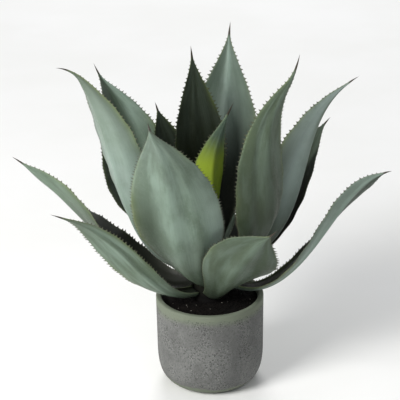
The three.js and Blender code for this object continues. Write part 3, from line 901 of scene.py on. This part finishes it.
def leaf_shade_and_highlight(s, f, skin, colour):
    """Painted shade on the blade's foot, sides and channel, a darker tip, and a painted highlight where its
    left margin turns out.
    """
    base_reach, reach = skin["base_reach"], skin["reach"]
    # Painted shade at the blade's foot, on both faces.
    foot = s.span(f.share, base_reach, base_reach - 0.4, 0.0, skin["base"])
    colour = s.mix(foot, colour, LEAF_TONES["base"])
    if skin["tip"]:
        colour = s.mix(s.span(f.share, 0.66, 0.95, 0.0, skin["tip"]), colour, LEAF_TONES["tip"])
    # Painted shade on either side of the blade, fading out along it.
    for side, sign in (("left", 1), ("right", -1)):
        if skin[side]:
            start, end = sign * skin[side + "_from"], sign * (skin[side + "_from"] + skin["soft"])
            below = s.span(f.share, skin[side + "_to"], skin[side + "_to"] - 0.3, 0.0, skin[side])
            flank_shade = s.math("MULTIPLY", s.span(f.across, start, end), below)
            colour = s.mix(flank_shade, colour, LEAF_TONES["side"])
    # Painted highlight where the left margin of the lower blade turns out.
    if skin["flare_highlight"]:
        below = s.span(f.share, 0.68, 0.42, 0.0, skin["flare_highlight"])
        colour = s.mix(s.math("MULTIPLY", s.span(f.across, 0.5, 0.92), below), colour, LEAF_TONES["flare_highlight"])
    # Painted shade in the channel of the inner face, deepest at the root.
    inner = s.math("SUBTRACT", 1.0, f.outer)
    channel = s.math("MULTIPLY", inner, s.span(f.share, reach, reach - 0.5, 0.0, skin["deep"]))
    return s.mix(channel, colour, LEAF_TONES["channel"])


def leaf_shade_and_growth(s, f, skin, colour):
    """Olive painted shade along the midrib, painted shade over the whole leaf, and fresh yellow-green growth.
    """
    dark, young, keel_shade = skin["dark"], skin["young"], skin["keel_shade"]
    # Olive painted shade along the midrib, where the blade folds.
    if keel_shade:
        band = s.span(s.math("ABSOLUTE", f.across), 0.24, 0.03, 0.0, keel_shade)
        colour = s.mix(s.math("MULTIPLY", band, s.span(f.share, 0.4, 0.9)), colour, LEAF_TONES["keel_shade"])
    # Painted shade over the whole leaf, a little lighter towards the tip.
    if dark:
        colour = s.mix(s.span(f.share, 0.0, 1.0, dark, dark * 0.8), colour, LEAF_TONES["old"])
    if young:
        bright = s.math("MULTIPLY", s.span(f.share, 0.8, 0.5), s.span(f.blotches, 0.2, 0.5, 0.75, 1.0))
        colour = s.mix(s.math("MULTIPLY", bright, young), colour, LEAF_TONES["young"])
    return colour


def leaf_margin(s, f, colour):
    """Pale margins with an olive tinge here and there, and dark teeth and spine."""
    near_edge = s.math("POWER", s.math("ABSOLUTE", f.across), 10.0)
    tinge = s.math("MULTIPLY", near_edge, s.span(f.clouds, 0.42, 0.6, 0.0, 0.6))
    colour = s.mix(tinge, colour, LEAF_TONES["tinge"])
    colour = s.mix(s.span(f.edge, 0.6, 0.98, 0.0, 0.3), colour, LEAF_TONES["margin"])
    return s.mix(f.spine, colour, LEAF_TONES["spine"])


def leaf_material(name, **own):
    """A waxy agave blade, whose skin departs from the plain one in the shares given."""
    s = Shader(name)
    f = leaf_fields(s)
    skin = {**PLAIN_SKIN, **own}
    colour = leaf_growth(s, f, skin)
    colour = leaf_shade_and_highlight(s, f, skin, colour)
    colour = leaf_shade_and_growth(s, f, skin, colour)
    colour = leaf_margin(s, f, colour)
    roughness = s.span(f.bloom, 0.3, 0.7, 0.4, 0.58)
    normal = s.bump(f.bloom, 0.00025, 0.5, s.bump(f.fibres, 0.0009, 0.35))
    gloss = 0.38 - 0.28 * skin["dark"]
    return s.set(Base_Color=colour, Roughness=roughness, Normal=normal, Specular_IOR_Level=gloss)


def concrete_material():
    """Cast concrete: cloudy grey, dark pits and pale specks, smoother and greener at the lip and the foot."""
    s = Shader("concrete")
    place = s.place()
    height = s.node("SeparateXYZ", {"Vector": place}).outputs["Z"]
    clouds = s.noise(place, 22.0, 5.0, 0.6)
    level = s.math("ADD", height, s.math("MULTIPLY", s.math("SUBTRACT", clouds, 0.5), LEVEL_SWAY))
    foot = s.span(level, *FOOT_SMOOTHING_AND_HIGHLIGHT)
    smooth_part = s.math("MAXIMUM", s.span(level, *LIP_SMOOTHING), foot)
    # The greener band at the foot is also a painted highlight of the foot's bevel.
    moss_and_highlight = s.math("MAXIMUM", s.span(level, *MOSS_RISE), foot)
    grit = s.noise(place, 330.0, 5.0, 0.7)
    patches = s.span(s.noise(place, 42.0, 4.0, 0.65), 0.4, 0.58, 0.15, 1.0)
    pits = s.math("MULTIPLY", s.span(s.spots(place, 330.0), 0.42, 0.2), patches)
    pits = s.math("MULTIPLY", pits, s.span(smooth_part, 0.7, 0.1))
    speckled = s.math("MULTIPLY", patches, s.span(grit, 0.42, 0.58))
    specks = s.math("MULTIPLY", s.span(s.spots(place, 470.0), 0.36, 0.12), speckled)
    drawn_down = s.node("Mapping", {"Vector": place, "Scale": (1, 1, 0.18)}).outputs[0]
    streaks = s.noise(drawn_down, 34.0, 3.0, 0.5)
    colour = s.mix(s.span(clouds, 0.35, 0.65), CONCRETE_TONES["dark"], CONCRETE_TONES["light"])
    colour = s.mix(s.span(streaks, 0.42, 0.66, 0.0, 0.45), colour, CONCRETE_TONES["streak"])
    colour = s.mix(s.span(grit, 0.4, 0.66, 0.0, 0.55), colour, CONCRETE_TONES["grit"])
    colour = s.mix(s.math("MULTIPLY", specks, 0.8), colour, CONCRETE_TONES["speck"])
    colour = s.mix(s.math("MULTIPLY", moss_and_highlight, 0.8), colour, CONCRETE_TONES["moss_and_highlight"])
    colour = s.mix(s.math("MULTIPLY", pits, 0.72), colour, CONCRETE_TONES["pit"])
    roughness = s.span(smooth_part, 0.0, 1.0, 0.93, 0.78)
    relief = s.math("SUBTRACT", s.math("MULTIPLY", grit, 0.4), pits)
    return s.set(Base_Color=colour, Roughness=roughness, Normal=s.bump(relief, 0.0006, 0.8))


def soil_material():
    """Dark peaty soil with a few pale mineral grains."""
    s = Shader("soil")
    crumbs = s.noise(s.place(), 380.0, 5.0, 0.7)
    damp = s.noise(s.place(), 40.0, 2.0, 0.5)
    colour = s.mix(s.span(crumbs, 0.4, 0.65), srgb(11, 10, 9), srgb(28, 24, 22))
    colour = s.mix(s.span(damp, 0.45, 0.6, 0.0, 0.5), colour, srgb(12, 11, 10))
    colour = s.mix(s.span(s.mark("grain"), 0.5, 0.9), colour, srgb(196, 192, 182))
    roughness = s.span(damp, 0.4, 0.6, 0.95, 0.8)
    normal = s.bump(crumbs, 0.0012, 0.9)
    return s.set(Base_Color=colour, Roughness=roughness, Normal=normal, Specular_IOR_Level=0.1)


def stem_material():
    """The dry scars of shed leaves, near black as painted shade, with darker streaks, a little greener
    towards the top.
    """
    s = Shader("stem")
    place = s.place()
    height = s.node("SeparateXYZ", {"Vector": place}).outputs["Z"]
    streaks = s.noise(place, 90.0, 4.0, 0.6)
    # Near black low down as painted shade, a little greener towards the top.
    colour = s.mix(s.span(height, *STEM_SHADE_TO_GREEN), srgb(10, 9, 8), srgb(58, 66, 42))
    colour = s.mix(s.span(streaks, 0.45, 0.7, 0.0, 0.6), colour, srgb(14, 12, 10))
    roughness = s.span(streaks, 0.3, 0.7, 0.7, 0.9)
    normal = s.bump(streaks, 0.0008, 0.6)
    return s.set(Base_Color=colour, Roughness=roughness, Normal=normal, Specular_IOR_Level=0.15)


def floor_material():
    """A plain pale floor with a faint, even mottling."""
    s = Shader("floor")
    mottle = s.noise(s.place(), 3.0, 3.0, 0.5)
    colour = s.mix(s.span(mottle, 0.3, 0.7), srgb(242, 242, 240), srgb(246, 246, 245))
    return s.set(Base_Color=colour, Roughness=s.span(mottle, 0.3, 0.7, 0.85, 0.9))


# Camera, light and floor

def add_camera():
    data = bpy.data.cameras.new("camera")
    data.sensor_width = CAMERA_SENSOR
    data.lens = CAMERA_LENS
    data.clip_end = CAMERA_REACH
    camera = bpy.data.objects.new("camera", data)
    tilt = Matrix.Rotation(math.radians(CAMERA_TILT), 4, "X")
    turn = Matrix.Rotation(math.radians(CAMERA_TURN), 4, "Z")
    camera.matrix_world = Matrix.Translation(CAMERA_PLACE) @ (tilt @ turn)
    bpy.context.scene.collection.objects.link(camera)
    bpy.context.scene.camera = camera


def add_light(name, place, size, power, colour):
    """A round soft light that faces the middle of the plant."""
    data = bpy.data.lights.new(name, "AREA")
    data.shape = "DISK"
    data.size = size
    data.energy = power
    data.color = colour
    light = bpy.data.objects.new(name, data)
    light.location = place
    direction = Vector(LIGHT_TARGET) - light.location
    light.rotation_euler = direction.to_track_quat("-Z", "Y").to_euler()
    bpy.context.scene.collection.objects.link(light)


def add_stage():
    """The sky's even light, the floor and the lights."""
    world = bpy.data.worlds.new("studio")
    world.use_nodes = True
    background = world.node_tree.nodes["Background"]
    background.inputs["Color"].default_value = SKY_COLOUR
    background.inputs["Strength"].default_value = SKY_STRENGTH
    bpy.context.scene.world = world
    points = [(x * FLOOR_HALF, y * FLOOR_HALF, 0) for x, y in ((-1, -1), (1, -1), (1, 1), (-1, 1))]
    floor = make_object("floor", points, [(0, 1, 2, 3)], material=floor_material())
    for light in LIGHTS:
        add_light(*light)
    bpy.context.scene.view_settings.view_transform = "Standard"


def build():
    """Sets the stage and dresses every piece of the plant."""
    add_camera()
    add_stage()
    rng = random.Random(7)
    pot_piece(concrete_material())
    soil_piece(soil_material(), rng)
    stem_piece(stem_material())
    plain = leaf_material("leaf_skin")
    for leaf in LEAVES:
        own = SKINS.get(leaf["name"])
        material = leaf_material(leaf["name"] + "_skin", **own) if own else plain
        leaf_piece(leaf, material, rng)


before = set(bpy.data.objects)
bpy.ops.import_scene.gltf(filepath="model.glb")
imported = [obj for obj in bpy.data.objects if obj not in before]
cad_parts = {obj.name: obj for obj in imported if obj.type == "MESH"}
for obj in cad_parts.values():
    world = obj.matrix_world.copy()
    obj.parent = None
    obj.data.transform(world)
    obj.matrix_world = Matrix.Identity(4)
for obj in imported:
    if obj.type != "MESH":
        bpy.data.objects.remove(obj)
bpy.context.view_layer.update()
build()
